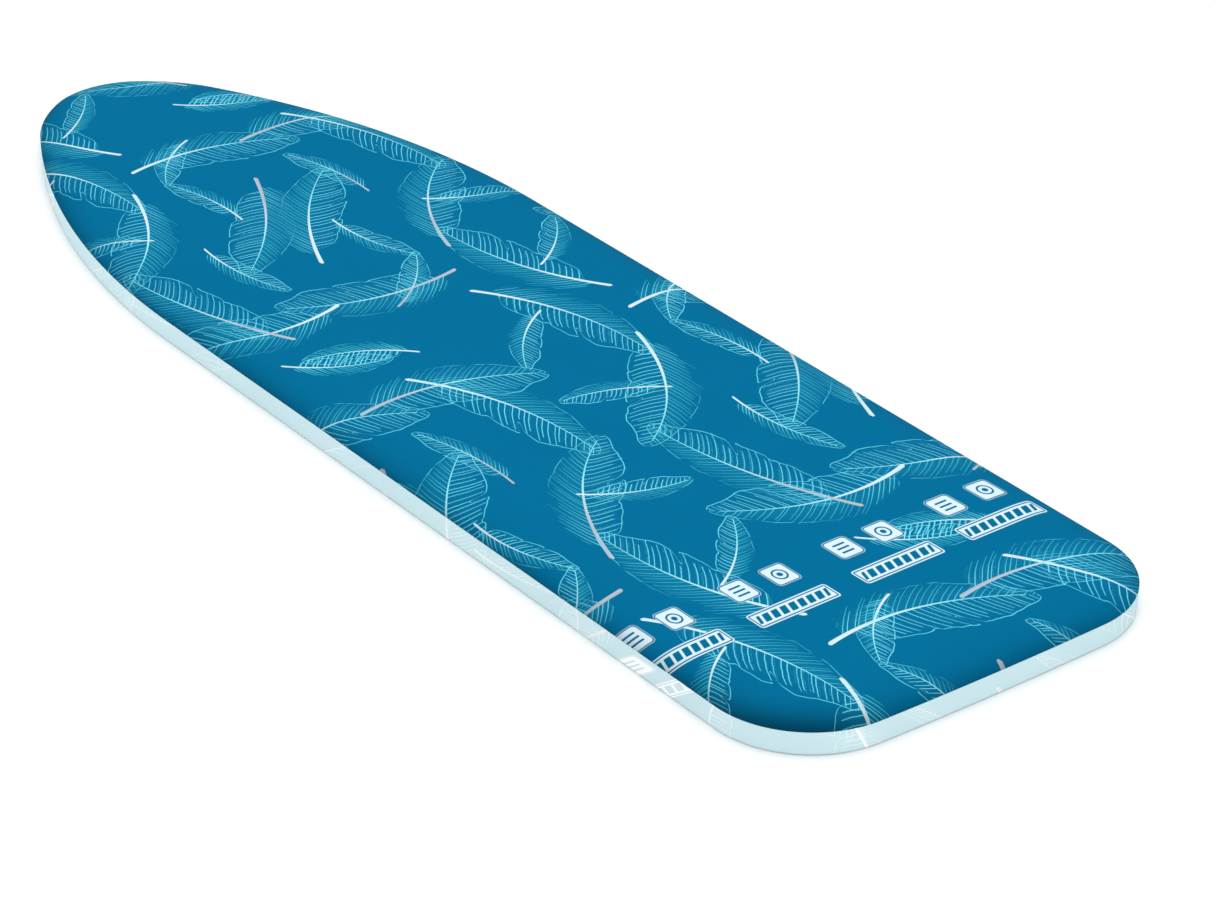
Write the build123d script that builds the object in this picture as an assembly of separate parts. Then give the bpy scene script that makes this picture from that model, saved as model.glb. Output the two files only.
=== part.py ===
"""Ironing board top with a fitted, padded cover.

The board lies flat on the hem of its cover: +X towards the square tail, -X towards the
pointed nose, +Z up, origin at the middle of the footprint. All sizes are in millimetres.
"""
from build123d import *
import os
from math import asin, cos, degrees, radians, sin, tan

# Outline of the covered board, as tangent arcs that mirror about the X axis
BOARD_LENGTH = 1250.0
BOARD_WIDTH = 374.0
NOSE_RADIUS = 75.0
SHOULDER_RADIUS = 155.0
CORNER_RADIUS = 84.0
TAIL_BOW_RADIUS = 4000.0
NOSE_TANGENT = 56.0       # where the nose arc meets the shoulder, degrees from the X axis
FLANK_TANGENT = 29.0      # where the shoulder meets the long flank

# Levels
HEM_TOP = 1.2
DECK_BOTTOM = 14.2
DECK_TOP = 15.2
FELT_TOP = 18.2
EDGE_TOP = 20.0           # seam between the side band and the top panel
BOARD_TOP = 25.0

# Cover and padding
FABRIC = 1.2              # turned and seamed fabric at the edge
PANEL = 0.7               # single printed fabric on top
FILM = 0.3
PAD_INSET = 1.6
HEM_WIDTH = 28.0
CROWN_STEPS = ((0.0, 0.0), (5.0, 2.2), (15.0, 4.0), (40.0, 5.0))   # inset, rise above the seam

# Frame
TUBE_RADIUS = 6.5
TUBE_WALL = 1.2
TUBE_INSET = FABRIC + TUBE_RADIUS
TUBE_GAP = 0.5            # half the gap between the tube's two ends
JOINER_REACH = 30.0
DECK_INSET = 3.0
VENT_RADIUS = 6.0
VENT_PITCH = 50.0
VENT_ROW = 42.0
VENT_MARGIN = 30.0
BRACE_PLACES = {"nose": -430.0, "shoulder": -270.0, "tail": 456.0}
BRACE_WIDTH = 22.0
BRACE_HEIGHT = 6.0
SHEET = 1.2
BRACE_INSET = TUBE_INSET + TUBE_RADIUS + 0.1

# Guide rails for the sliding leg, and pivot brackets for the fixed leg
RAIL_START = -60.0
RAIL_END = 430.0
RAIL_WEB = 51.5           # outer face of the rail's web, from the centre line
RAIL_FLANGE = 11.5
RAIL_BOTTOM = 3.2
PLATE = 1.5
NOTCH_START = 60.0
NOTCH_PITCH = 34.0
NOTCHES = 6
NOTCH_WIDTH = 9.0
NOTCH_DEPTH = 7.0
PIVOT_X = -170.0
PIVOT_Z = 8.2
PIVOT_RADIUS = 3.1
EAR_FACE = 62.0           # inner face of the bracket's ear, from the centre line
EAR = 3.0
EAR_RADIUS = 6.0
BRACKET_LENGTH = 44.0
BRACKET_WIDTH = 26.0

# Rivets
RIVET_RADIUS = 2.0
RIVET_HEAD_RADIUS = 3.6
RIVET_HEAD = 1.2
RAIL_RIVETS = (-40.0, 115.0, 270.0, 410.0)
BRACKET_RIVET = 14.0      # from the pivot, along the board

# Drawcord and its casing
CORD_RADIUS = 1.5
CASING_BORE = 1.8
CASING_RADIUS = 2.4
CORD_LEVEL = 2.9
CORD_INSET = HEM_WIDTH + CASING_RADIUS
CASING_GAP = 42.0         # half the open stretch at the tail
STRAND_LEVELS = {1: 8.7, -1: 5.6}    # height of each strand through the lock, by side
STRAND_START = 566.0
CORD_END = 474.0

# Cord lock
LOCK_X = 535.0
LOCK_Z = 7.15
LOCK_LENGTH = 14.0
LOCK_HEIGHT = 11.0
LOCK_BACK = -13.0
LOCK_MOUTH = 11.0
LOCK_FLOOR = -11.0
PLUNGER_RADIUS = 4.15
PLUNGER_FIT = 0.05
PLUNGER_TRAVEL = 4.0
PLUNGER_BACK = -4.0
PLUNGER_CAP = 1.5
CAP_RADIUS = 5.0
CORD_SLOT = 3.4
SLOT_HEIGHT = 6.4
STOPPER_X = 476.0
STOPPER_LENGTH = 12.0
STOPPER_WIDTH = 9.0
SPRING_RADIUS = 2.7
SPRING_WIRE = 0.35
SPRING_PITCH = 1.8

# Blank label sewn to the casing
LABEL = (46.0, 28.0, 0.4)
LABEL_EDGE = 588.0
LABEL_Y = 106.0
LABEL_LEVEL = 0.9


def unit(normal):
    """Unit vector of an outward normal, given in degrees from +X."""
    return Vector(cos(radians(normal)), sin(radians(normal)))


def half_outline():
    """Arcs of the +Y side from tail to nose: centre, radius, first and last normal in degrees."""
    half_length = BOARD_LENGTH / 2
    half_width = BOARD_WIDTH / 2
    bow_end = degrees(asin((half_width - CORNER_RADIUS) / (TAIL_BOW_RADIUS - CORNER_RADIUS)))
    bow = Vector(half_length - TAIL_BOW_RADIUS, 0)
    corner = bow + unit(bow_end) * (TAIL_BOW_RADIUS - CORNER_RADIUS)
    nose = Vector(NOSE_RADIUS - half_length, 0)
    nose_start = 90 + NOSE_TANGENT
    shoulder = nose + unit(nose_start) * (NOSE_RADIUS - SHOULDER_RADIUS)
    shoulder_start = 90 + FLANK_TANGENT
    slope = cos(radians(FLANK_TANGENT))
    flank_radius = (half_width - shoulder.Y - SHOULDER_RADIUS * slope) / (1 - slope)
    flank = shoulder + unit(shoulder_start) * (SHOULDER_RADIUS - flank_radius)
    return (
        (bow, TAIL_BOW_RADIUS, 0.0, bow_end),
        (corner, CORNER_RADIUS, bow_end, 90.0),
        (flank, flank_radius, 90.0, shoulder_start),
        (shoulder, SHOULDER_RADIUS, shoulder_start, nose_start),
        (nose, NOSE_RADIUS, nose_start, 180.0),
    )


ARCS = half_outline()


def half_edges(inset, level, gap=0.0):
    """Edges of the +Y side at a constant inset, starting a gap away from the tail's middle."""
    edges = []
    for centre, radius, first, last in ARCS:
        reach = radius - inset
        if first == 0.0:
            first = degrees(asin(gap / reach))
        start, middle, end = (
            centre + unit(normal) * reach + Vector(0, 0, level)
            for normal in (first, (first + last) / 2, last)
        )
        if edges and (start - edges[-1] @ 1).length > 1e-6:
            edges.append(Line(edges[-1] @ 1, start))
        edges.append(ThreePointArc(start, middle, end))
    return edges


def outline(inset, level=0.0, gap=0.0):
    """Outline at a constant inset, as a closed wire or as one that is open at the tail."""
    side = half_edges(inset, level, gap)
    other = [edge.mirror(Plane.XZ) for edge in side]
    return Wire(side + other)


def slab(inset, bottom, top):
    """Flat layer of the board's outline between two levels."""
    return extrude(make_face(outline(inset, bottom)), amount=top - bottom)


def crown(sections):
    """Closed solid through outlines given as (inset, level), from the lowest up."""
    return Solid.make_loft([outline(inset, level) for inset, level in sections], True)


def crown_sections(drop, edge_inset):
    """Sections of the crowned surface, lowered by the layers above it."""
    steps = [(inset, EDGE_TOP + rise - drop) for inset, rise in CROWN_STEPS[1:]]
    return [(edge_inset, EDGE_TOP)] + steps


def pipe(path, outer, inner=0.0):
    """Round tube or rod along a path."""
    place = Plane(origin=path @ 0, z_dir=path % 0)
    section = place * Circle(outer)
    if inner:
        section -= place * Circle(inner)
    return sweep(section, path)


def block(x0, x1, y0, y1, z0, z1):
    """Box between two corners."""
    size = (abs(x1 - x0), abs(y1 - y0), abs(z1 - z0))
    return Pos((x0 + x1) / 2, (y0 + y1) / 2, (z0 + z1) / 2) * Box(*size)


def rod(x, y, z0, z1, radius):
    """Upright cylinder between two levels."""
    return Pos(x, y, (z0 + z1) / 2) * Cylinder(radius, z1 - z0)


def cross_rod(x, z, y0, y1, radius):
    """Cylinder along Y between two places."""
    return Pos(x, (y0 + y1) / 2, z) * Rot(90, 0, 0) * Cylinder(radius, abs(y1 - y0))


def rivets():
    """Rivets that hold the rails and the pivot brackets to the deck, flush with its top."""
    rail_y = RAIL_WEB - RAIL_FLANGE / 2
    bracket_y = EAR_FACE + (BRACKET_WIDTH + EAR) / 2
    places = [(x, rail_y) for x in RAIL_RIVETS]
    places += [(PIVOT_X + step, bracket_y) for step in (-BRACKET_RIVET, BRACKET_RIVET)]
    flange = DECK_BOTTOM - PLATE
    solids = []
    for x, y in places:
        for side in (-1, 1):
            shank = rod(x, side * y, flange, DECK_TOP, RIVET_RADIUS)
            head = rod(x, side * y, flange - RIVET_HEAD, flange, RIVET_HEAD_RADIUS)
            solids.append(shank + head)
    return Part() + solids




def vent_places():
    """Staggered vent holes over the deck, clear of the rim, the rails and the brackets."""
    rows = int(BOARD_WIDTH / 2 / VENT_ROW)
    columns = int(BOARD_LENGTH / 2 / VENT_PITCH)
    field = make_face(outline(VENT_MARGIN))
    for row in range(-rows, rows + 1):
        shift = VENT_PITCH / 2 if row % 2 else 0.0
        for column in range(-columns, columns + 1):
            x = column * VENT_PITCH + shift
            y = row * VENT_ROW
            if field.is_inside(Vector(x, y, 0)):
                yield x, y


def deck_plate(rivet_group):
    """Sheet steel deck with vent holes for the steam."""
    vents = [Pos(x, y) * Circle(VENT_RADIUS) for x, y in vent_places()]
    face = make_face(outline(DECK_INSET)) - vents
    plate = Pos(0, 0, DECK_BOTTOM) * extrude(face, amount=DECK_TOP - DECK_BOTTOM)
    return plate - rivet_group


def cross_brace(x):
    """Channel under the deck, open downwards, that ends against the rim tube."""
    half = BRACE_WIDTH / 2
    reach = BOARD_WIDTH / 2
    low = DECK_BOTTOM - BRACE_HEIGHT
    outer = block(x - half, x + half, -reach, reach, low, DECK_BOTTOM)
    groove = block(x - half + SHEET, x + half - SHEET, -reach, reach, low, DECK_BOTTOM - SHEET)
    return (outer - groove) & slab(BRACE_INSET, low, DECK_BOTTOM)


def leg_rail(side, rivet_group):
    """Channel, open towards the centre line, with height notches in its lower flange."""
    inner = side * (RAIL_WEB - RAIL_FLANGE)
    web = side * RAIL_WEB
    rail = block(RAIL_START, RAIL_END, inner, web, RAIL_BOTTOM, DECK_BOTTOM)
    hollow = side * (RAIL_WEB - PLATE)
    rail -= block(RAIL_START, RAIL_END, inner, hollow, RAIL_BOTTOM + PLATE, DECK_BOTTOM - PLATE)
    depth = side * (RAIL_WEB - RAIL_FLANGE + NOTCH_DEPTH)
    for notch in range(NOTCHES):
        x = NOTCH_START + notch * NOTCH_PITCH
        rail -= block(x, x + NOTCH_WIDTH, inner, depth, RAIL_BOTTOM, RAIL_BOTTOM + PLATE)
    return rail - rivet_group


def pivot_bracket(side, rivet_group):
    """Riveted angle whose ear holds the pin of the fixed leg."""
    half = BRACKET_LENGTH / 2
    face = side * EAR_FACE
    back = side * (EAR_FACE + EAR)
    base = block(PIVOT_X - half, PIVOT_X + half, face, side * (EAR_FACE + BRACKET_WIDTH),
                 DECK_BOTTOM - PLATE, DECK_BOTTOM)
    ear = cross_rod(PIVOT_X, PIVOT_Z, face, back, EAR_RADIUS)
    ear += block(PIVOT_X - EAR_RADIUS, PIVOT_X + EAR_RADIUS, face, back, PIVOT_Z, DECK_BOTTOM - PLATE)
    bore = cross_rod(PIVOT_X, PIVOT_Z, face, back, PIVOT_RADIUS)
    return base + ear - bore - rivet_group


def rim_tube():
    """Tube bent round the board's edge, its two ends almost meeting at the tail."""
    level = HEM_TOP + TUBE_RADIUS
    return pipe(outline(TUBE_INSET, level, TUBE_GAP), TUBE_RADIUS, TUBE_RADIUS - TUBE_WALL)


def rim_tube_joiner():
    """Plug pressed into both ends of the rim tube."""
    centre, radius, *_ = ARCS[0]
    reach = radius - TUBE_INSET
    level = Vector(0, 0, HEM_TOP + TUBE_RADIUS)
    swing = degrees(asin(JOINER_REACH / reach))
    ends = [centre + unit(angle) * reach + level for angle in (-swing, 0, swing)]
    return pipe(ThreePointArc(*ends), TUBE_RADIUS - TUBE_WALL)


def felt_pad():
    """Flat felt between the deck and the foam."""
    return slab(PAD_INSET, DECK_TOP, FELT_TOP)


def foam_pad():
    """Foam that gives the cover its crowned top."""
    top = crown_sections(PANEL + FILM, PAD_INSET)
    return crown([(PAD_INSET, FELT_TOP)] + top)


def reflective_layer():
    """Thin heat-reflecting layer between the foam and the printed panel."""
    over = crown(crown_sections(PANEL, FABRIC))
    under = crown(crown_sections(PANEL + FILM, PAD_INSET))
    return over - under


def cover_top_panel():
    """Printed fabric of the ironing surface, crowned towards its edge seam."""
    return crown(crown_sections(0.0, 0.0)) - crown(crown_sections(PANEL, FABRIC))


def cover_side_band():
    """Fabric wall from the hem up to the seam of the top panel."""
    return slab(0.0, HEM_TOP, EDGE_TOP) - slab(FABRIC, HEM_TOP, EDGE_TOP)


def cover_hem():
    """Turned-under hem that the board lies on."""
    return slab(0.0, 0.0, HEM_TOP) - slab(HEM_WIDTH, 0.0, HEM_TOP)


def cord_casing():
    """Bias-tape casing along the hem's inner edge, open at the tail for the cord lock."""
    return pipe(outline(CORD_INSET, CORD_LEVEL, CASING_GAP), CASING_RADIUS, CASING_BORE)


def fillet_radius(before, corner, after):
    """Radius of an arc that uses 0.45 of the shorter run beside a corner."""
    turn = (corner - before).get_angle(after - corner)
    shorter = min((corner - before).length, (after - corner).length)
    return 0.45 * shorter / tan(radians(turn / 2))


def strand(side):
    """Path of one free end of the cord, from the casing through the lock to the stopper."""
    start = half_edges(CORD_INSET, CORD_LEVEL, CASING_GAP)[0] @ 0
    level = STRAND_LEVELS[side]
    points = [
        Vector(start.X, side * start.Y, start.Z),
        Vector(start.X + 0.4, side * 6.0, start.Z + 0.5),
        Vector(STRAND_START, 0.0, level),
        Vector(CORD_END, 0.0, level),
    ]
    radii = [fillet_radius(*points[i:i + 3]) for i in range(len(points) - 2)]
    print("cord bends, mm:", [round(radius, 1) for radius in radii])
    return FilletPolyline(*points, radius=radii)


def drawcord():
    """Round cord inside the casing, with both of its ends led through the lock."""
    loop = pipe(outline(CORD_INSET, CORD_LEVEL, CASING_GAP), CORD_RADIUS)
    return loop + [pipe(strand(side), CORD_RADIUS) for side in STRAND_LEVELS]


def cord_end_stopper(cord):
    """Bead that holds both cord ends."""
    half = LOCK_HEIGHT / 2
    x1 = STOPPER_X + STOPPER_LENGTH / 2
    bead = block(x1 - STOPPER_LENGTH, x1, -STOPPER_WIDTH / 2, STOPPER_WIDTH / 2,
                 LOCK_Z - half, LOCK_Z + half)
    return fillet(bead.edges(), 2.0) - cord


def cord_lock_barrel():
    """Body of the cord lock: a blind bore for the plunger and a cross slot for two strands."""
    x0 = LOCK_X - LOCK_LENGTH / 2
    half = LOCK_HEIGHT / 2
    body = block(x0, x0 + LOCK_LENGTH, LOCK_BACK, LOCK_MOUTH, LOCK_Z - half, LOCK_Z + half)
    body = fillet(body.edges(), 1.0)
    body -= cross_rod(LOCK_X, LOCK_Z, LOCK_FLOOR, LOCK_MOUTH + 1, PLUNGER_RADIUS + PLUNGER_FIT)
    slot = CORD_SLOT / 2
    return body - block(x0 - 1, x0 + LOCK_LENGTH + 1, -slot, slot,
                        LOCK_Z - SLOT_HEIGHT / 2, LOCK_Z + SLOT_HEIGHT / 2)


def cord_lock_plunger():
    """Plunger whose long slot grips the strands until it is pressed in."""
    cap = LOCK_MOUTH + PLUNGER_TRAVEL + 0.2
    body = cross_rod(LOCK_X, LOCK_Z, PLUNGER_BACK, cap, PLUNGER_RADIUS)
    body += cross_rod(LOCK_X, LOCK_Z, cap, cap + PLUNGER_CAP, CAP_RADIUS)
    grip = -(CORD_RADIUS + PLUNGER_FIT)
    return body - block(LOCK_X - 6, LOCK_X + 6, grip, grip + CORD_SLOT + PLUNGER_TRAVEL,
                        LOCK_Z - SLOT_HEIGHT / 2, LOCK_Z + SLOT_HEIGHT / 2)


def cord_lock_spring():
    """Coil spring between the bore's floor and the plunger."""
    free = PLUNGER_BACK - LOCK_FLOOR - 2 * SPRING_WIRE - 0.1
    coil = Helix(SPRING_PITCH, free, SPRING_RADIUS)
    wire = pipe(coil, SPRING_WIRE)
    return Pos(LOCK_X, LOCK_FLOOR + SPRING_WIRE + 0.05, LOCK_Z) * Rot(-90, 0, 0) * wire


def care_label():
    """Blank fabric label sewn into the casing's seam."""
    length, width, thickness = LABEL
    return Pos(LABEL_EDGE - length / 2, LABEL_Y, LABEL_LEVEL) * Box(length, width, thickness)


def build():
    """Every sub-part by node name."""
    rivet_group = rivets()
    cord = drawcord()
    nodes = {
        "rim_tube": rim_tube(),
        "rim_tube_joiner": rim_tube_joiner(),
        "deck_plate": deck_plate(rivet_group),
        "deck_rivets": rivet_group,
        "felt_pad": felt_pad(),
        "foam_pad": foam_pad(),
        "reflective_layer": reflective_layer(),
        "cover_top_panel": cover_top_panel(),
        "cover_side_band": cover_side_band(),
        "cover_hem": cover_hem(),
        "cord_casing": cord_casing(),
        "drawcord": cord,
        "cord_end_stopper": cord_end_stopper(cord),
        "cord_lock_barrel": cord_lock_barrel(),
        "cord_lock_plunger": cord_lock_plunger(),
        "cord_lock_spring": cord_lock_spring(),
        "care_label": care_label(),
    }
    for name, x in BRACE_PLACES.items():
        nodes[f"{name}_cross_brace"] = cross_brace(x)
    for name, side in (("left", -1), ("right", 1)):
        nodes[f"{name}_leg_rail"] = leg_rail(side, rivet_group)
        nodes[f"{name}_pivot_bracket"] = pivot_bracket(side, rivet_group)
    return nodes


os.makedirs("parts", exist_ok=True)
for node, shape in build().items():
    export_step(shape, f"parts/{node}.step")
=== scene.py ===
"""Ironing board top in its printed, padded cover, on a pale studio floor.

Lengths of shapes are in metres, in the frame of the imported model: +X to the square tail,
-X to the nose, +Z up. Lengths of the print on the cloth are in millimetres.
"""
import math

import bmesh
import bpy
import numpy as np
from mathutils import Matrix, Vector, noise
from mathutils.geometry import delaunay_2d_cdt


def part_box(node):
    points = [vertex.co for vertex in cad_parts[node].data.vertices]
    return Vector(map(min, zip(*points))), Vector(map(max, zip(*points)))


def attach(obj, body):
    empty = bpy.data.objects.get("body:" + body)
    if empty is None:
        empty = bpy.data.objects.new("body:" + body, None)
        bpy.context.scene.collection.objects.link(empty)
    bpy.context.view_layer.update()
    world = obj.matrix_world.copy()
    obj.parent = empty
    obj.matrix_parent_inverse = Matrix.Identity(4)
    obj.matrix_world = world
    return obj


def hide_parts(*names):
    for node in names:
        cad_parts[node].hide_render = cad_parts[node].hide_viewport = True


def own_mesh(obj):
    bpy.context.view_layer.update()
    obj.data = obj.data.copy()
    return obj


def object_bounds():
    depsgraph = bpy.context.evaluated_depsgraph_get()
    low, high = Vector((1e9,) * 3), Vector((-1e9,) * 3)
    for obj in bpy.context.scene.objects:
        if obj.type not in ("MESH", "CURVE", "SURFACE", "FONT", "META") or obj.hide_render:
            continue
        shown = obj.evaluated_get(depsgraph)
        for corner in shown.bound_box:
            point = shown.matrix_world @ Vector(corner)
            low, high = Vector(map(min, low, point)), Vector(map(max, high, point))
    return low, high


MM = 0.001

# Outline of the board, as on the CAD model
NOSE_RADIUS = 0.075
SHOULDER_RADIUS = 0.155
CORNER_RADIUS = 0.084
TAIL_BOW_RADIUS = 4.0
NOSE_TANGENT = math.radians(56)
FLANK_TANGENT = math.radians(29)
OUTLINE_STEP = 0.004
CASING_GAP = 0.042        # half the open stretch of the cord's casing, at the tail's middle

# Crown of the top panel: it rises over this inset, steeply at first
CROWN_INSET = 0.040
CROWN_RISE = 0.005
CROWN_RINGS = (0.0011, 0.002, 0.0035, 0.0055, 0.008, 0.011, 0.015, 0.020, 0.026, 0.033, 0.040)
GRID_STEP = 0.006
TUBE_SIDES = 10
UNDULATION = 0.00012
FULL_GATHER = 0.09        # radius of bend at which the cloth's edge is fully gathered

# The cover is pulled on a little askew: how far the cloth under a point has moved, in mm at
# 500 mm from the middle, for the products xx, xy and yy
PULL_SPAN = 500.0
PULL_X = (-11.1, -15.8, -5.8)
PULL_Y = (0.0, -12.6, -16.6)
PRINT_STRETCH = 1.1       # the print is longer along the board, and as much narrower across it

# The side band shows the print slantwise: move over the print for a rise of 1 up the band
BAND_SLANT = np.array((-1.42, 1.07))

# Repeat of the print, in mm: the same feathers again at each sum of these two steps
REPEAT_A = np.array((432, 214.5))
REPEAT_B = np.array((448, -219))
REPEATS = range(-3, 4)
FEATHER_SLOTS = 5         # most feathers that cross one small face of the cloth
BARE = -1000.0            # place along a feather that stands for no feather
FEATHER_MARGIN = 9.0      # how far past its outline a feather's faces are looked for
TIP_OVERRUN = 1.03        # the vane's length over the quill's
SOFT_REACH = 0.9          # widest reach of the soft side of the vane, over the open side's

# A feather's number in the shader has one of these added for a grey quill or a dense vane
GREY_CODE = 100
DENSE_CODE = 1000

# Feathers of one repeat, in mm: base, tip, how far the quill's middle stands off the line
# between them, and whether the quill is grey
LARGE_VANE = 32.0         # widest reach of the open side of the vane
LARGE_FEATHERS = (
    ((-428, 117), (-263, 175), 18, False),
    ((-138, 79), (-275, 189), 17, True),
    ((-10, 150), (-165, 92), 15, False),
    ((45, -171), (71, 0), 16, True),
    ((-406, -78), (-380, 94), 16, False),
    ((-174, -36), (-315, 79), 13, False),
    ((-335, 14), (-196, -100), 12, True),
    ((-103, 56), (-129, -117), 16, True),
    ((324, 144), (300, -27), 19, False),
    ((61, 113), (200, 0), 18, False),
    ((-81, -140), (-249, -197), 12, True),
    ((-67, 42), (89, 101), 17, False),
)
SMALL_VANE = 15.0
SMALL_FEATHERS = (
    ((227, -102), (256, -11), 7, False),
    ((378, -95), (313, -22), 7, False),
    ((-258, 86), (-357, 68), 7, True),
    ((-252, -109), (-152, -92), 8, False),
    ((-277, -46), (-369, -63), 7, False),
    ((-432, 7), (-371, -63), 8, False),
    ((-233, 23), (-142, 45), 8, False),
    ((-78, -29), (-143, 45), 7, True),
    ((-9, 70), (59, -5), 8, False),
    ((143, 76), (114, -16), 7, False),
)
DENSE_VANE = 17.0
DENSE_FEATHERS = (
    ((-9, -63), (-48, -156), 9, False),
    ((-52, -178), (-14, -90), 8, False),
)

# Row of plain marks across the tail, in mm: its start, the step to the next marks, and how far
# they reach to each side of the row
MARK_ORIGIN = (416.5, 147.9)
MARK_STEP = (4.2, -108.4)
MARK_SPAN = (-30.0, 60.0)
BLOCK_PITCH = 9.0
BAR_PITCH = 5.0

THREAD_PITCH = 0.9        # of the printed cotton, in mm

# Camera, in metres and in mm of focal length
CAMERA_AZIMUTH = math.radians(53.06)
CAMERA_ELEVATION = math.radians(29.39)
CAMERA_DISTANCE = 3.177
CAMERA_LENS = 121.6
CAMERA_TARGET = Vector((0.2089, -0.0313, 0.020))

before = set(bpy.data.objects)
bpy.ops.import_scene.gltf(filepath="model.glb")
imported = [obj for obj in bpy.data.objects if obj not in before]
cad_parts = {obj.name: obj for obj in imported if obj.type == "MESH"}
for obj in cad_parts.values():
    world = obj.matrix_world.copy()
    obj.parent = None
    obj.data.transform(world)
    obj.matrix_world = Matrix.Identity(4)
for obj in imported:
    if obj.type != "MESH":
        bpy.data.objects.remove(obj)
CAD_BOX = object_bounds()
LOW, HIGH = (Vector(corner) for corner in CAD_BOX)
HALF_LENGTH = (HIGH.x - LOW.x) / 2
HALF_WIDTH = (HIGH.y - LOW.y) / 2
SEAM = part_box("cover_side_band")[1][2]
TOP = HIGH.z


# ---------------------------------------------------------------- outline

def heading(angle):
    """Unit vector in the board's plane."""
    return np.array((math.cos(angle), math.sin(angle)))


def outline_arcs():
    """Arcs of the +Y side from tail to nose: centre, radius, first and last normal."""
    reach = TAIL_BOW_RADIUS - CORNER_RADIUS
    bow_end = math.asin((HALF_WIDTH - CORNER_RADIUS) / reach)
    bow = np.array((HALF_LENGTH - TAIL_BOW_RADIUS, 0.0))
    corner = bow + heading(bow_end) * reach
    nose = np.array((NOSE_RADIUS - HALF_LENGTH, 0.0))
    nose_start = math.pi / 2 + NOSE_TANGENT
    shoulder = nose + heading(nose_start) * (NOSE_RADIUS - SHOULDER_RADIUS)
    shoulder_start = math.pi / 2 + FLANK_TANGENT
    slope = math.cos(FLANK_TANGENT)
    flank_radius = (HALF_WIDTH - shoulder[1] - SHOULDER_RADIUS * slope) / (1 - slope)
    flank = shoulder + heading(shoulder_start) * (SHOULDER_RADIUS - flank_radius)
    return (
        (bow, TAIL_BOW_RADIUS, 0.0, bow_end),
        (corner, CORNER_RADIUS, bow_end, math.pi / 2),
        (flank, flank_radius, math.pi / 2, shoulder_start),
        (shoulder, SHOULDER_RADIUS, shoulder_start, nose_start),
        (nose, NOSE_RADIUS, nose_start, math.pi),
    )


def outline_samples():
    """Points round the edge, each as centre, radius and outward normal, so any inset is exact."""
    rows = []
    for centre, radius, first, last in outline_arcs():
        if first == math.pi / 2:
            for x in np.arange(rows[-1][0], centre[0] + OUTLINE_STEP / 2, -OUTLINE_STEP):
                rows.append((x, 0.0, HALF_WIDTH, 0.0, 1.0))
        count = max(4, round(radius * (last - first) / OUTLINE_STEP))
        for angle in np.linspace(first, last, count, endpoint=False):
            rows.append((*centre, radius, *heading(angle)))
    centre, radius, _, last = outline_arcs()[-1]
    rows.append((*centre, radius, *heading(last)))
    side = np.array(rows)
    other = side[1:-1][::-1] * (1, -1, 1, 1, -1)
    return np.vstack((side, other))


SAMPLES = outline_samples()
NORMALS = SAMPLES[:, 3:5]


def plan(inset):
    """Outline at an inset, in the board's plane. A negative inset lies outside the board."""
    reach = SAMPLES[:, 2] - inset
    return SAMPLES[:, :2] + NORMALS * reach[:, None]


def ring(inset, level):
    """Outline at an inset and a level. Either may vary round the edge."""
    flat = plan(inset)
    return np.column_stack((flat, np.broadcast_to(level, len(flat))))


EDGE_LENGTH = np.concatenate(((0,), np.cumsum(np.linalg.norm(np.diff(plan(0), axis=0), axis=1))))
BEND = 1 / SAMPLES[:, 2]
BEND[(SAMPLES[:, 1] == 0) & (SAMPLES[:, 2] == HALF_WIDTH)] = 0


def around(values, reach):
    """Values round the edge, averaged over a distance along it."""
    width = max(1, round(reach / OUTLINE_STEP))
    kernel = np.hanning(2 * width + 1)
    padded = np.concatenate((values[-width:], values, values[:width]))
    return np.convolve(padded, kernel / kernel.sum(), mode="valid")


# ---------------------------------------------------------------- meshes

def new_object(name, points, faces, body="board"):
    """Mesh object that rides on a body."""
    mesh = bpy.data.meshes.new(name)
    mesh.from_pydata([tuple(p) for p in points], [], [tuple(f) for f in faces])
    tidy = bmesh.new()
    tidy.from_mesh(mesh)
    bmesh.ops.recalc_face_normals(tidy, faces=tidy.faces)
    tidy.to_mesh(mesh)
    tidy.free()
    mesh.polygons.foreach_set("use_smooth", [True] * len(mesh.polygons))
    piece = bpy.data.objects.new(name, mesh)
    bpy.context.scene.collection.objects.link(piece)
    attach(piece, body)
    return piece


def strip_faces(rows, columns, wrap_rows=False, wrap_columns=True, start=0):
    """Quads of a grid of points, closed or open each way."""
    for row in range(rows if wrap_rows else rows - 1):
        above = (row + 1) % rows
        for column in range(columns if wrap_columns else columns - 1):
            after = (column + 1) % columns
            yield (start + row * columns + column, start + row * columns + after,
                   start + above * columns + after, start + above * columns + column)


def loft(name, rings, wrap=False):
    """Skin through rings that go all the way round the board."""
    points = np.vstack(rings)
    faces = strip_faces(len(rings), len(SAMPLES), wrap_rows=wrap)
    return new_object(name, points, faces)


def plate(name, lower, upper):
    """Closed pad: rings from the middle of its underside out and back to the middle of its top."""
    rings = lower + upper
    points = np.vstack(rings)
    count = len(SAMPLES)
    faces = list(strip_faces(len(rings), count))
    faces.append(tuple(range(count)))
    last = (len(rings) - 1) * count
    faces.append(tuple(range(last, last + count)))
    return new_object(name, points, faces)


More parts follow.
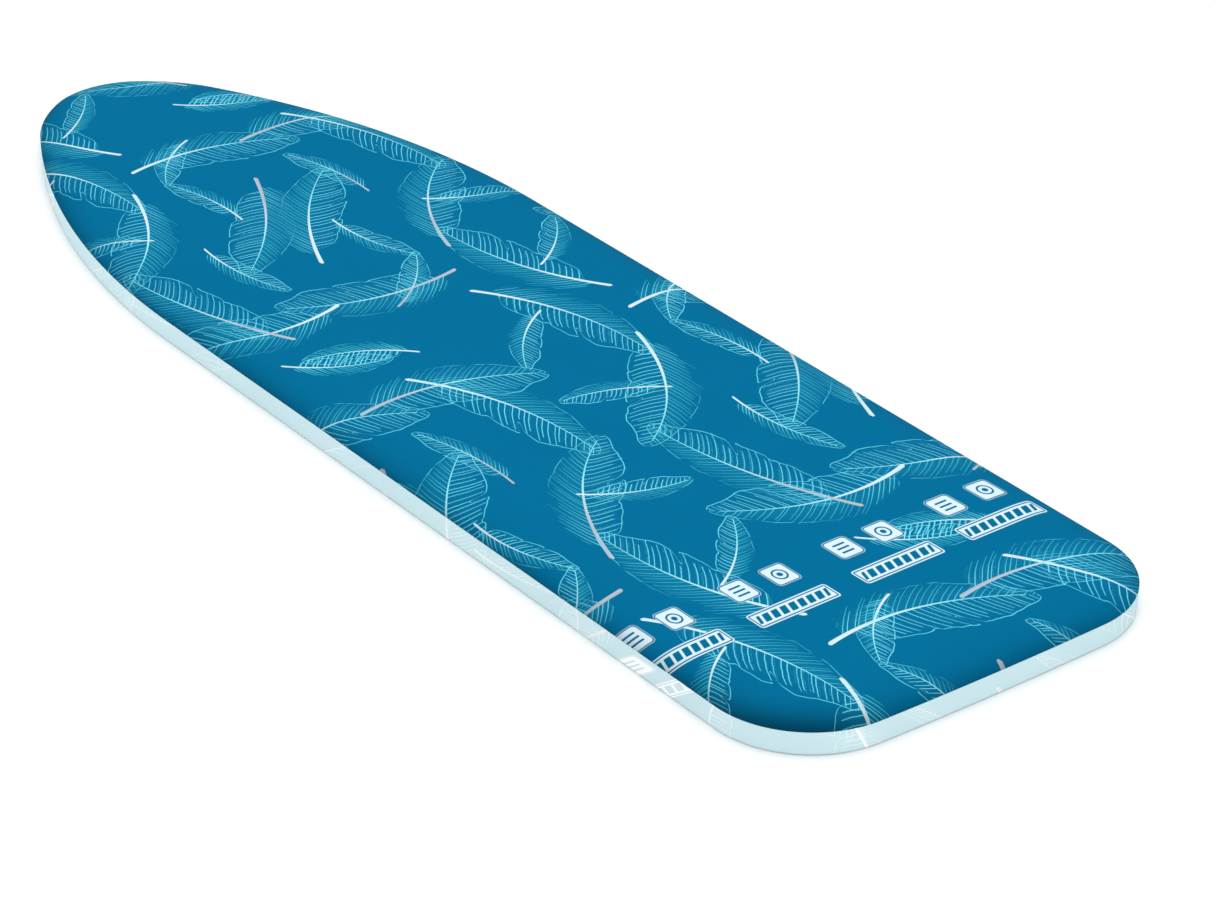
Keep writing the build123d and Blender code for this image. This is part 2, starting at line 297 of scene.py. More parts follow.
def tube(name, path, radii, body="board"):
    """Closed round tube along points, with its own radius at each."""
    path = np.asarray(path)
    tangents = np.gradient(path, axis=0)
    tangents /= np.linalg.norm(tangents, axis=1)[:, None]
    side = np.cross(tangents, (0.0, 0.0, 1.0))
    lengths = np.linalg.norm(side, axis=1)[:, None]
    side = np.where(lengths > 1e-6, side / np.maximum(lengths, 1e-6), (1.0, 0.0, 0.0))
    up = np.cross(side, tangents)
    turns = np.linspace(0, 2 * math.pi, TUBE_SIDES, endpoint=False)
    circle = side[:, None] * np.cos(turns)[:, None] + up[:, None] * np.sin(turns)[:, None]
    points = (path[:, None] + circle * np.asarray(radii)[:, None, None]).reshape(-1, 3)
    faces = list(strip_faces(len(path), TUBE_SIDES))
    faces.append(tuple(range(TUBE_SIDES)))
    faces.append(tuple(range(len(points) - TUBE_SIDES, len(points))))
    return new_object(name, points, faces, body)


# ---------------------------------------------------------------- print on the cloth

def feathers():
    """Every feather in reach of the board: base, direction, side, length, bulge, vane and code."""
    groups = ((LARGE_FEATHERS, LARGE_VANE, -1, 0), (SMALL_FEATHERS, SMALL_VANE, 1, 0),
              (DENSE_FEATHERS, DENSE_VANE, 1, DENSE_CODE))
    number = 0
    for group, vane, hand, style in groups:
        for base, tip, bulge, grey in group:
            number += 1
            along = np.subtract(tip, base)
            length = float(np.linalg.norm(along))
            along = along / length
            across = hand * np.array((-along[1], along[0]))
            code = number + style + (GREY_CODE if grey else 0)
            for i in REPEATS:
                for j in REPEATS:
                    shift = i * REPEAT_A + j * REPEAT_B
                    yield base + shift, along, across, (length, -bulge, vane, code)


def on_cloth(flat):
    """Place on the uncut cloth, in mm of the print, of points in the board's plane."""
    x, y = flat.T / MM
    products = np.array((x * x, x * y, y * y)) / PULL_SPAN ** 2
    pulled = np.array((x + PULL_X @ products, y + PULL_Y @ products))
    return pulled.T * (1 / PRINT_STRETCH, PRINT_STRETCH)


def print_on(piece, flat):
    """Stores on each small face which feathers cross it, and where it lies on each of them.

    flat is the place of each vertex with the cloth spread out in the board's plane.
    """
    cloth = on_cloth(flat)
    mesh = piece.data
    corners = np.zeros(len(mesh.loops), dtype=int)
    mesh.loops.foreach_get("vertex_index", corners)
    sides = np.zeros(len(mesh.polygons), dtype=int)
    mesh.polygons.foreach_get("loop_total", sides)
    face_of = np.repeat(np.arange(len(sides)), sides)
    place = cloth[corners]
    middle = np.zeros((len(sides), 2))
    for axis in (0, 1):
        middle[:, axis] = np.bincount(face_of, place[:, axis], len(sides)) / sides
    used = np.zeros(len(sides), dtype=int)
    where = np.full((FEATHER_SLOTS, len(corners), 3), BARE)
    form = np.zeros((FEATHER_SLOTS, len(corners), 3))
    for base, along, across, (length, bulge, vane, code) in feathers():
        s = (middle - base) @ along
        t = (middle - base) @ across
        arch = bulge * 4 * (s / length) * (1 - s / length)
        near = (s > -FEATHER_MARGIN) & (s < length * TIP_OVERRUN + FEATHER_MARGIN)
        off = t - arch
        near &= (off < vane + FEATHER_MARGIN) & (off > -vane * SOFT_REACH - FEATHER_MARGIN)
        near &= used < FEATHER_SLOTS
        for slot in range(FEATHER_SLOTS):
            mine = (near & (used == slot))[face_of]
            offset = place[mine] - base
            where[slot, mine] = np.column_stack((offset @ along, offset @ across,
                                                 np.full(len(offset), length)))
            form[slot, mine] = (bulge, vane, code)
        used[near] += 1
    for slot in range(FEATHER_SLOTS):
        for label, values in (("place", where[slot]), ("form", form[slot])):
            layer = mesh.attributes.new(f"{label}_{slot}", "FLOAT_VECTOR", "CORNER")
            layer.data.foreach_set("vector", values.ravel())
    layer = mesh.attributes.new("cloth", "FLOAT_VECTOR", "POINT")
    layer.data.foreach_set("vector", np.column_stack((cloth, np.zeros(len(cloth)))).ravel())


# ---------------------------------------------------------------- shader formulas

def feed(tree, socket, value):
    """Sets a node's input from a Num or a plain number."""
    if isinstance(value, Num):
        tree.links.new(value.source, socket)
    else:
        socket.default_value = value


class Num:
    """Number in a shader, so that a formula in Python adds the nodes that work it out."""

    def __init__(self, tree, source):
        self.tree = tree
        self.source = source

    def math(self, operation, *others):
        node = self.tree.nodes.new("ShaderNodeMath")
        node.operation = operation
        for socket, value in zip(node.inputs, (self, *others)):
            feed(self.tree, socket, value)
        return Num(self.tree, node.outputs[0])

    def __add__(self, other):
        return self.math("ADD", other)

    def __sub__(self, other):
        return self.math("SUBTRACT", other)

    def __mul__(self, other):
        return self.math("MULTIPLY", other)

    def __truediv__(self, other):
        return self.math("DIVIDE", other)

    def __lt__(self, other):
        return self.math("LESS_THAN", other)

    def __gt__(self, other):
        return self.math("GREATER_THAN", other)

    def __abs__(self):
        return self.math("ABSOLUTE")

    def flipped(self):
        """1 minus the number."""
        return self * -1 + 1

    def floor(self):
        return self.math("FLOOR")

    def fraction(self):
        return self.math("FRACT")

    def repeated(self, pitch):
        """Distance from the nearest whole multiple of a pitch, negative below it."""
        return ((self / pitch + 0.5).fraction() - 0.5) * pitch

    def power(self, exponent):
        return self.math("POWER", exponent)

    def most(self, other):
        return self.math("MAXIMUM", other)

    def least(self, other):
        return self.math("MINIMUM", other)

    def sine(self):
        return self.math("SINE")

    def choose(self, when_one, when_zero):
        """One of two numbers, by whether this one is 1 or 0."""
        return (when_one - when_zero) * self + when_zero

    def step(self, low, high):
        """Smooth step from 0 at low to 1 at high. A low above high runs the other way."""
        node = self.tree.nodes.new("ShaderNodeMapRange")
        node.interpolation_type = "SMOOTHSTEP"
        self.tree.links.new(self.source, node.inputs["Value"])
        feed(self.tree, node.inputs["From Min"], low)
        feed(self.tree, node.inputs["From Max"], high)
        return Num(self.tree, node.outputs[0])

    def curve(self, points):
        """Value of a curve through given points, at this place from 0 to 1."""
        node = self.tree.nodes.new("ShaderNodeFloatCurve")
        line = node.mapping.curves[0]
        while len(line.points) < len(points):
            line.points.new(0.5, 0.5)
        for point, (x, y) in zip(line.points, points):
            point.location = (x, y)
            point.handle_type = "AUTO"
        node.mapping.update()
        self.tree.links.new(self.source, node.inputs["Value"])
        return Num(self.tree, node.outputs[0])

    def chance(self, seed):
        """Even random number for a whole number and a seed."""
        node = self.tree.nodes.new("ShaderNodeTexWhiteNoise")
        node.noise_dimensions = "2D"
        pair = self.tree.nodes.new("ShaderNodeCombineXYZ")
        for socket, value in zip(pair.inputs, (self, seed)):
            feed(self.tree, socket, value)
        self.tree.links.new(pair.outputs[0], node.inputs["Vector"])
        return Num(self.tree, node.outputs["Value"])

    def wander(self, scale):
        """Slow random number along this place, about 0.5 on average."""
        node = self.tree.nodes.new("ShaderNodeTexNoise")
        node.noise_dimensions = "1D"
        node.inputs["Scale"].default_value = scale
        self.tree.links.new(self.source, node.inputs["W"])
        return Num(self.tree, node.outputs[0])


def parts_of(tree, vector):
    """X, Y and Z of a vector socket."""
    node = tree.nodes.new("ShaderNodeSeparateXYZ")
    tree.links.new(vector, node.inputs[0])
    return [Num(tree, socket) for socket in node.outputs]


def attribute(tree, name):
    """Vector socket of a mesh attribute."""
    node = tree.nodes.new("ShaderNodeAttribute")
    node.attribute_name = name
    return node.outputs["Vector"]


def blend_colour(tree, amount, under, over):
    """Colour socket that goes from under to over by an amount."""
    node = tree.nodes.new("ShaderNodeMix")
    node.data_type = "RGBA"
    tree.links.new(amount.source, node.inputs["Factor"])
    tree.links.new(under, node.inputs[6])
    tree.links.new(over, node.inputs[7])
    return node.outputs[2]


def dye(tree, colour):
    """Socket of one plain colour."""
    node = tree.nodes.new("ShaderNodeRGB")
    node.outputs[0].default_value = (*colour, 1.0)
    return node.outputs[0]


def scale_colour(tree, colour, factor):
    """Colour socket times a number."""
    node = tree.nodes.new("ShaderNodeVectorMath")
    node.operation = "SCALE"
    tree.links.new(colour, node.inputs[0])
    tree.links.new(factor.source, node.inputs["Scale"])
    return node.outputs[0]


# Length of the barbs over the vane's reach, by place along the feather: on the open side by where
# they leave the quill, which gives its notches, and on the soft side by where they end
OPEN_VANE = (
    (0.0, 0.0), (0.12, 0.0), (0.143, 0.36), (0.165, 0.62), (0.233, 0.80), (0.338, 0.90),
    (0.365, 0.85), (0.388, 0.94), (0.463, 1.0), (0.518, 0.97), (0.53, 0.58), (0.545, 0.68),
    (0.575, 0.93), (0.68, 0.88), (0.79, 0.70), (0.88, 0.50), (0.95, 0.33), (0.985, 0.18),
    (1.0, 0.0),
)
SOFT_VANE = (
    (0.0, 0.0), (0.075, 0.0), (0.10, 0.40), (0.17, 0.66), (0.32, 0.80), (0.55, 0.80), (0.75, 0.64),
    (0.88, 0.41), (0.95, 0.26), (0.985, 0.14), (1.0, 0.0),
)


def feather_group():
    """Node group that draws one feather over a colour."""
    tree = bpy.data.node_groups.new("feather", "ShaderNodeTree")
    face = tree.interface
    for name in ("Under", "Line", "Soft", "White", "Grey"):
        face.new_socket(name, in_out="INPUT", socket_type="NodeSocketColor")
    for name in ("Place", "Form"):
        face.new_socket(name, in_out="INPUT", socket_type="NodeSocketVector")
    face.new_socket("Colour", in_out="OUTPUT", socket_type="NodeSocketColor")
    given = tree.nodes.new("NodeGroupInput").outputs
    s, t, length = parts_of(tree, given["Place"])
    bulge, vane, code = parts_of(tree, given["Form"])

    along = s / length
    dense = code > DENSE_CODE - 0.5
    grey = (code > GREY_CODE - 0.5) * dense.flipped()
    arch = bulge * 4 * along * along.flipped()
    off = t - arch
    reach = abs(off)
    is_open = off > 0
    u = along / TIP_OVERRUN
    drawn = (u > 0.0) * (u < 1.0)

    def by_side(open_value, soft_value):
        return is_open * (open_value - soft_value) + soft_value

    # barbs leave the quill at a slant and curve towards the tip
    lean = reach * (by_side(0.34, 0.84) + along * along * 0.22)
    root = s - lean - reach * reach / vane * by_side(0.26, 0.32)
    # at the tip the outline is rounded, so it follows the place itself and not the barb's root
    start = u + (root / (length * TIP_OVERRUN) - u) * u.step(0.95, 0.72)
    # the feather's own number moves each random pattern along, so no two feathers share one
    wobble = (s + code * 37.0).wander(0.045) * 0.18 + 0.91
    edge = is_open.choose(start.curve(OPEN_VANE), u.curve(SOFT_VANE)) * vane * wobble
    filled = edge.step(0.5, 2.5) * drawn
    share = (reach / edge.most(1.0)).least(1.5)

    # barbs are numbered along the quill, and each has its own place, length and strength
    rank = root + (reach * 0.9 + code * 5.0).wander(0.10) * 1.5
    gap = vane * 0.09 + by_side(3.1, 3.2)
    count = rank / gap + code * 0.37
    number = count.floor()
    centre = (number.chance(code) - 0.5) * 0.5 + 0.5
    miss = abs(count.fraction() - centre) * gap
    heavy = dense * 0.10
    barb = miss.step(heavy + by_side(0.64, 0.66), heavy * 0.8 + by_side(0.15, 0.16))
    end = edge * ((number + 0.5).chance(code + 3.1) * 0.34 + by_side(0.72, 0.78))
    barb = barb * reach.step(end + 0.5, end - 1.2)
    strength = ((number + 0.5).chance(code + 8.3) + dense * 0.3).least(1.0)
    line = barb * is_open * (strength * 0.45 + 0.68) * (share * -0.30 + 1.12).least(1.0)
    near_base = u.step(0.40, 0.16)
    fade = (share * -0.62 + 1.0 + near_base * 0.4).least(1.0)
    soft = barb * is_open.flipped() * (strength * 0.50 + 0.72) * fade
    bright = near_base * share.step(0.9, 0.3)

    # the open side has a drawn outline, the other side only touches of one towards the tip
    rim = abs(reach - edge).step(0.60, 0.10) * (u > 0.13) * filled
    touches = (s + code * 11.0).wander(0.05).step(0.36, 0.54) * u.step(0.40, 0.80)
    touches = (touches * 0.55).most(u.step(0.84, 0.94) * 0.75)
    rim = rim * ((touches - 0.80) * is_open.flipped() + 0.80)

    haze = share.step(1.0, 0.3) * by_side(0.02, 0.05)
    taper = along.flipped().most(0.0)
    thick = (vane * 0.058 - 0.12) * taper.power(1.7) + 0.34
    quill = (reach - thick * s.step(-1.0, 1.2)).step(0.25, -0.25) * (u > -0.006) * (u < 0.95)
    side_light = (off / thick).step(-1.0, 1.0) * 0.10 + 0.90

    colour = blend_colour(tree, haze * filled, given["Under"], given["Soft"])
    comb = blend_colour(tree, bright, given["Soft"], given["Line"])
    colour = blend_colour(tree, soft * filled, colour, comb)
    colour = blend_colour(tree, (line * filled).most(rim), colour, given["Line"])
    stem = blend_colour(tree, along.step(0.20, 0.80) * 0.80, given["White"], given["Line"])
    stem = blend_colour(tree, grey * along.step(0.62, 0.22), stem, given["Grey"])
    stem = scale_colour(tree, stem, side_light)
    colour = blend_colour(tree, quill, colour, stem)
    result = tree.nodes.new("NodeGroupOutput")
    tree.links.new(colour, result.inputs["Colour"])
    return tree


def rounded_box(x, y, half_x, half_y, radius):
    """Distance outside a rounded box, negative inside it."""
    over_x = (abs(x) - (half_x - radius)).most(0.0)
    over_y = (abs(y) - (half_y - radius)).most(0.0)
    return (over_x * over_x + over_y * over_y).power(0.5) - radius


def marks_group():
    """Node group that draws the row of plain marks over a colour."""
    tree = bpy.data.node_groups.new("marks", "ShaderNodeTree")
    face = tree.interface
    for name in ("Under", "Ground", "White"):
        face.new_socket(name, in_out="INPUT", socket_type="NodeSocketColor")
    face.new_socket("Cloth", in_out="INPUT", socket_type="NodeSocketVector")
    face.new_socket("Colour", in_out="OUTPUT", socket_type="NodeSocketColor")
    given = tree.nodes.new("NodeGroupInput").outputs
    x, y, _ = parts_of(tree, given["Cloth"])

    pitch = math.hypot(*MARK_STEP)
    run_x, run_y = MARK_STEP[0] / pitch, MARK_STEP[1] / pitch
    dx = x - MARK_ORIGIN[0]
    dy = y - MARK_ORIGIN[1]
    run = dx * run_x + dy * run_y
    side = dx * run_y - dy * run_x
    cell = run.repeated(pitch)

    # long lozenge with a double outline and a row of slanted blocks
    around_lozenge = rounded_box(cell, side, 41.0, 9.4, 3.2)
    outer = abs(around_lozenge + 0.9).step(0.85, 0.35)
    panel = (around_lozenge + 2.7).step(0.35, -0.35)
    slant = cell + side * 0.4
    bead = slant.repeated(BLOCK_PITCH)
    block = rounded_box(bead, side, 3.2, 4.5, 0.6).step(0.3, -0.3) * (abs(slant) < 36.0)
    lozenge = outer.most(panel * block.flipped())

    # square badge with a ring and a dot
    bx, by = cell + 22.8, side - 35.0
    badge = rounded_box(bx, by, 10.5, 10.6, 2.6).step(0.5, -0.5)
    centre = (bx * bx + by * by).power(0.5)
    circle = abs(centre - 5.8).step(1.1, 0.5)
    dot = centre.step(2.9, 2.1)
    badge = badge * circle.most(dot).flipped()

    # square badge with three short bars
    cx, cy = cell - 19.0, side - 35.2
    card = rounded_box(cx, cy, 10.8, 10.8, 3.2).step(0.5, -0.5)
    bar = abs(cy.repeated(BAR_PITCH)).step(1.2, 0.8)
    bar = bar * (abs(cx) < 6.0) * (abs(cy) < 7.5)
    card = card * bar.flipped()

    # each badge sits in a thin pale line
    around_badge = rounded_box(bx, by, 11.9, 12.0, 3.8)
    around_card = rounded_box(cx, cy, 12.2, 12.2, 4.3)
    halo_badge = around_badge.step(0.5, -0.5)
    halo_card = around_card.step(0.5, -0.5)
    rims = abs(around_badge).least(abs(around_card)).step(0.7, 0.2) * 0.45
    backing = around_lozenge.step(0.6, -0.2).most(halo_badge).most(halo_card)
    near = (side > MARK_SPAN[0]) * (side < MARK_SPAN[1])
    colour = blend_colour(tree, backing * near, given["Under"], given["Ground"])
    inked = lozenge.most(badge).most(card).most(rims) * near
    colour = blend_colour(tree, inked, colour, given["White"])
    result = tree.nodes.new("NodeGroupOutput")
    tree.links.new(colour, result.inputs["Colour"])
    return tree


FEATHER = feather_group()
MARKS = marks_group()


# ---------------------------------------------------------------- materials

def new_material(name, roughness, specular=0.3, metallic=0.0, sheen=0.0):
    """Material with one Principled shader, returned with its tree and shader."""
    material = bpy.data.materials.new(name)
    material.use_nodes = True
    tree = material.node_tree
    shader = tree.nodes["Principled BSDF"]
    shader.inputs["Roughness"].default_value = roughness
    shader.inputs["Specular IOR Level"].default_value = specular
    shader.inputs["Metallic"].default_value = metallic
    shader.inputs["Sheen Weight"].default_value = sheen
    shader.inputs["Sheen Roughness"].default_value = 0.5
    return material, tree, shader


def position(tree):
    """Place in the object's frame, as three numbers in mm."""
    node = tree.nodes.new("ShaderNodeTexCoord")
    return [axis / MM for axis in parts_of(tree, node.outputs["Object"])]


def texture_noise(tree, scale, detail=3.0):
    """Noise over the object, about 0.5 on average. scale is in features per mm."""
    place = tree.nodes.new("ShaderNodeTexCoord")
    fit = tree.nodes.new("ShaderNodeMapping")
    fit.inputs["Scale"].default_value = [scale / MM] * 3
    tree.links.new(place.outputs["Object"], fit.inputs["Vector"])
    node = tree.nodes.new("ShaderNodeTexNoise")
    node.inputs["Scale"].default_value = 1.0
    node.inputs["Detail"].default_value = detail
    tree.links.new(fit.outputs[0], node.inputs["Vector"])
    return Num(tree, node.outputs[0])


def bump(tree, shader, height, distance, strength=1.0):
    """Bump from a height between 0 and 1, which stands for a distance in mm."""
    node = tree.nodes.new("ShaderNodeBump")
    node.inputs["Strength"].default_value = strength
    node.inputs["Distance"].default_value = distance * MM
    tree.links.new(height.source, node.inputs["Height"])
    tree.links.new(node.outputs[0], shader.inputs["Normal"])


def weave(x, y, pitch):
    """Height of a plain weave with threads at a pitch in mm."""
    turn = 2 * math.pi / pitch
    warp = (x * turn).sine()
    weft = (y * turn).sine()
    return (warp * weft) * 0.5 + 0.5


# Colours of the print on the top, and as it shows on the pale side band
PRINT = {
    "ground": (0.0, 0.147, 0.303),
    "line": (0.17, 0.80, 0.94),
    "soft": (0.07, 0.62, 0.74),
    "white": (0.67, 0.84, 0.90),
    "grey": (0.46, 0.52, 0.60),
}
GHOST = {
    "ground": (0.515, 0.68, 0.72),
    "line": (0.73, 0.81, 0.83),
    "soft": (0.58, 0.72, 0.75),
    "white": (0.84, 0.86, 0.87),
    "grey": (0.76, 0.77, 0.80),
}


def printed_cloth(name, palette, painted_edge_shade):
    """Cotton with the feather print and the row of marks, and, when asked, a painted shade
    darkening the edge.
    """
    material, tree, shader = new_material(name, 0.9, specular=0.02)
    colour = dye(tree, palette["ground"])
    for slot in range(FEATHER_SLOTS):
        node = tree.nodes.new("ShaderNodeGroup")
        node.node_tree = FEATHER
        tree.links.new(colour, node.inputs["Under"])
        for key in ("line", "soft", "white", "grey"):
            node.inputs[key.capitalize()].default_value = (*palette[key], 1.0)
        tree.links.new(attribute(tree, f"place_{slot}"), node.inputs["Place"])
        tree.links.new(attribute(tree, f"form_{slot}"), node.inputs["Form"])
        colour = node.outputs["Colour"]
    marks = tree.nodes.new("ShaderNodeGroup")
    marks.node_tree = MARKS
    tree.links.new(colour, marks.inputs["Under"])
    marks.inputs["Ground"].default_value = (*palette["ground"], 1.0)
    marks.inputs["White"].default_value = (*palette["white"], 1.0)
    tree.links.new(attribute(tree, "cloth"), marks.inputs["Cloth"])
    colour = marks.outputs["Colour"]

    x, y, _ = parts_of(tree, attribute(tree, "cloth"))
    grain = texture_noise(tree, 0.9, detail=2.0)
    blotch = texture_noise(tree, 0.012, detail=2.0)
    tone = (grain - 0.5) * 0.06 + (blotch - 0.5) * 0.05 + 1.0
    # painted shade: the colour darkens towards the edge, read from the 'edge' attribute
    if painted_edge_shade:
        _, _, shade = parts_of(tree, attribute(tree, "edge"))
        tone = tone * shade
    tree.links.new(scale_colour(tree, colour, tone), shader.inputs["Base Color"])
    bump(tree, shader, weave(x, y, THREAD_PITCH) * 0.6 + grain * 0.4, 0.05, 0.5)
    return material


def dyed_cloth(name, colour, pitch=THREAD_PITCH):
    """Plain woven cloth of one dye, with the small unevenness of its yarn."""
    material, tree, shader = new_material(name, 0.88, specular=0.15, sheen=0.10)
    x, y, z = position(tree)
    grain = texture_noise(tree, 1.1)
    cloud = texture_noise(tree, 0.02)
    tone = (grain - 0.5) * 0.16 + (cloud - 0.5) * 0.10 + 1.0
    tree.links.new(scale_colour(tree, dye(tree, colour), tone), shader.inputs["Base Color"])
    bump(tree, shader, weave(x + z, y + z, pitch) * 0.7 + grain * 0.3, 0.10, 0.8)
    return material


def speckled(name, colour, roughness, scale, depth, spread=0.15, **finish):
    """Material whose tone and height follow one fine noise: paint, plastic, felt or metal."""
    material, tree, shader = new_material(name, roughness, **finish)
    fine = texture_noise(tree, scale)
    cloud = texture_noise(tree, scale / 30)
    tone = (fine - 0.5) * spread + (cloud - 0.5) * spread * 0.6 + 1.0
    tree.links.new(scale_colour(tree, dye(tree, colour), tone), shader.inputs["Base Color"])
    worn = (cloud - 0.5) * 0.25 + roughness
    tree.links.new(worn.source, shader.inputs["Roughness"])
    bump(tree, shader, fine, depth)
    return material


def braid(name, colour, pitch=2.2):
    """Braided cord: crossing slanted yarns."""
    material, tree, shader = new_material(name, 0.8, specular=0.2, sheen=0.15)
    x, y, z = position(tree)
    turn = 2 * math.pi / pitch
    left = ((x + y + z * 1.7) * turn).sine()
    right = ((x + y - z * 1.7) * turn).sine()
    height = left.most(right) * 0.5 + 0.5
    # painted shade: the yarns are darker where they dip into the grooves between each other
    tone = height * 0.25 + 0.78
    tree.links.new(scale_colour(tree, dye(tree, colour), tone), shader.inputs["Base Color"])
    bump(tree, shader, height, 0.25)
    return material


def finish(piece, material):
    """Gives a piece one material."""
    piece.data.materials.clear()
    piece.data.materials.append(material)


def finish_node(name, material):
    """Gives a CAD node one material in each of its slots."""
    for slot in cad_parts[name].material_slots:
        slot.material = material


# ---------------------------------------------------------------- cover

def crown_level(inset, drop=0.0):
    """Level of the crowned top at an inset, under the layers above it."""
    share = np.clip(1 - np.asarray(inset) / CROWN_INSET, 0, 1)
    return TOP - drop - CROWN_RISE * share ** 3


def edge_shade(points):
    """Painted shade near the edge, where the crown rolls away from the light: deepest on the tail
    and the -Y side, and over a wider stretch in the corner between them."""
    rim = plan(0)
    # painted shade is deepest on the sides that turn away from the key light
    facing = np.clip((NORMALS @ (0.8, -0.6) + 0.6) / 0.6, 0, 1)
    corner = np.clip(NORMALS @ (0.68, -0.73) * 2.2 - 1.2, 0, 1) * (rim[:, 0] > HALF_LENGTH - 0.13)
    tail = around(np.clip(NORMALS[:, 0], 0, 1) ** 2, 0.05) * (1 - corner)
    facing = around(facing, 0.06)
    corner = around(corner, 0.05)
    shade = np.ones(len(points))
    for start in range(0, len(points), 2000):
        block = points[start:start + 2000]
        gaps = np.sqrt(((block[:, None] - rim) ** 2).sum(axis=2))
        near = gaps.argmin(axis=1)
        gap = gaps.min(axis=1)
        fall = (gap / (0.0095 + 0.010 * corner[near])) ** (1 + 0.5 * corner[near])
        # how dark the painted shade is right at the rim
        depth = 0.12 + 0.36 * facing[near] + 0.26 * corner[near] - 0.16 * tail[near]
        shade[start:start + 2000] = 1 - depth * np.exp(-fall)
    return shade


def top_panel():
    """Printed panel: rings down its crowned edge, and a fine flat mesh inside them."""
    rings = [ring(0.0008, SEAM - 0.0012), ring(0.0002, SEAM - 0.0004), ring(0.0002, SEAM + 0.0003)]
    rings += [ring(inset, float(crown_level(inset))) for inset in CROWN_RINGS]
    shell = np.vstack(rings)
    count = len(SAMPLES)
    inner = plan(CROWN_RINGS[-1])
    steps_x = np.arange(-HALF_LENGTH, HALF_LENGTH, GRID_STEP)
    steps_y = np.arange(-HALF_WIDTH, HALF_WIDTH, GRID_STEP)
    grid = np.array([(x, y) for x in steps_x for y in steps_y])
    clear = plan(CROWN_RINGS[-1] + GRID_STEP / 2)
    grid = grid[inside(grid, clear)]
    flat = [Vector(point) for point in (*inner, *grid)]
    rim = [(i, (i + 1) % count) for i in range(count)]
    found, _, triangles, *_ = delaunay_2d_cdt(flat, rim, [], 1, 1e-7)
    first = len(shell) - count
    added = np.array([(*point, TOP) for point in found[count:]])
    points = np.vstack((shell, added))
    faces = list(strip_faces(len(rings), count))
    faces += [tuple(first + corner for corner in face) for face in triangles]
    for point in points[3 * count:]:
        point[2] += UNDULATION * noise.noise(Vector((point[0] * 9, point[1] * 9, 0.3)))
    piece = new_object("printed_top_panel", points, faces)
    print_on(piece, points[:, :2])
    # painted shade along the edge, stored on each point for the shader
    layer = piece.data.attributes.new("edge", "FLOAT_VECTOR", "POINT")
    shade = edge_shade(points[:, :2])
    layer.data.foreach_set("vector", np.column_stack((shade, shade, shade)).ravel())
    finish(piece, printed_cloth("printed_cotton", PRINT, painted_edge_shade=True))
    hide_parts("cover_top_panel")
    plan_area(0)


def inside(points, polygon):
    """Which points lie inside a closed polygon."""
    result = np.zeros(len(points), dtype=bool)
    x, y = points.T
    for (x0, y0), (x1, y1) in zip(polygon, np.roll(polygon, -1, axis=0)):
        if y0 == y1:
            continue
        crosses = (y0 > y) != (y1 > y)
        result ^= crosses & (x < (x1 - x0) * (y - y0) / (y1 - y0) + x0)
    return result


def plan_area(inset):
    """Area inside the outline at an inset."""
    x, y = plan(inset).T
    return abs(np.dot(x, np.roll(y, -1)) - np.dot(y, np.roll(x, -1))) / 2


def side_band():
    """Pale wall of the cover, drawn in a little along its lower edge by the cord."""
    gather = around(np.clip(BEND * FULL_GATHER, 0.15, 1.0), 0.05)
    waves = np.array([noise.noise(Vector((s * 70, 0.0, 4.0))) for s in EDGE_LENGTH])
    depth = SEAM - 0.0006
    levels = np.array((0.0, 0.0012, 0.004, 0.008, 0.0125, 0.016, 0.0182, 0.0192))
    rings = []
    cloths = []
    for drop in levels:
        low = (drop / depth) ** 2
        inset = 0.0004 + 0.0005 * low + 0.0005 * low * gather * waves
        rings.append(ring(inset, SEAM - 0.0001 - drop))
        cloths.append(plan(0) + BAND_SLANT * (SEAM - drop))
    rings.append(ring(0.0016, 0.0004))
    cloths.append(plan(0))
    for level in (0.0016, SEAM - 0.0006):
        rings.append(ring(0.0019, level))
        cloths.append(plan(0) + BAND_SLANT * level)
    piece = loft("folded_side_band", rings, wrap=True)
    print_on(piece, np.vstack(cloths))
    finish(piece, printed_cloth("band_cotton", GHOST, painted_edge_shade=False))
    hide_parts("cover_side_band")


def hem():
    """Turned-under hem, gathered into small folds where the outline curves."""
    gather = around(np.clip(BEND * FULL_GATHER, 0.12, 1.0), 0.04)
    folds = np.sin(EDGE_LENGTH * 2 * math.pi / 0.013 + 4 * np.sin(EDGE_LENGTH * 17))
    rings = []
    insets = (0.0022, 0.005, 0.009, 0.014, 0.019, 0.024, 0.0276)
    for inset in insets:
        rise = 0.0005 * (inset / insets[-1]) * gather * (1 + folds)
        rings.append(ring(inset, 0.00035 + rise))
    for inset in reversed(insets):
        rise = 0.0005 * (inset / insets[-1]) * gather * (1 + folds)
        rings.append(ring(inset, 0.00085 + rise))
    piece = loft("gathered_hem", rings, wrap=True)
    finish(piece, dyed_cloth("hem_cotton", (0.60, 0.76, 0.80)))
    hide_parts("cover_hem")


def run_of(node):
    """Inset, radius and level of a round part that follows the outline."""
    low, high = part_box(node)
    radius = (high[2] - low[2]) / 2
    return HALF_WIDTH - high[1] + radius, radius, (high[2] + low[2]) / 2


def casing_path(inset):
    """Part of the outline at an inset that leaves the tail's middle open."""
    path = plan(inset)
    return path[~((path[:, 0] > 0) & (np.abs(path[:, 1]) < CASING_GAP))]


def cord_casing():
    """Bias-tape casing, puckered along the cord inside it."""
    inset, radius, level = run_of("cord_casing")
    path = casing_path(inset)
    path = np.column_stack((path, np.full(len(path), level)))
    pucker = np.array([noise.noise(Vector((spot * 0.9, 2.0, 0.5))) for spot in range(len(path))])
    radii = radius * (0.93 + 0.10 * pucker)
    piece = tube("gathered_cord_casing", path, radii)
    finish(piece, dyed_cloth("bias_tape", (0.80, 0.83, 0.84), pitch=0.7))
    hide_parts("cord_casing")


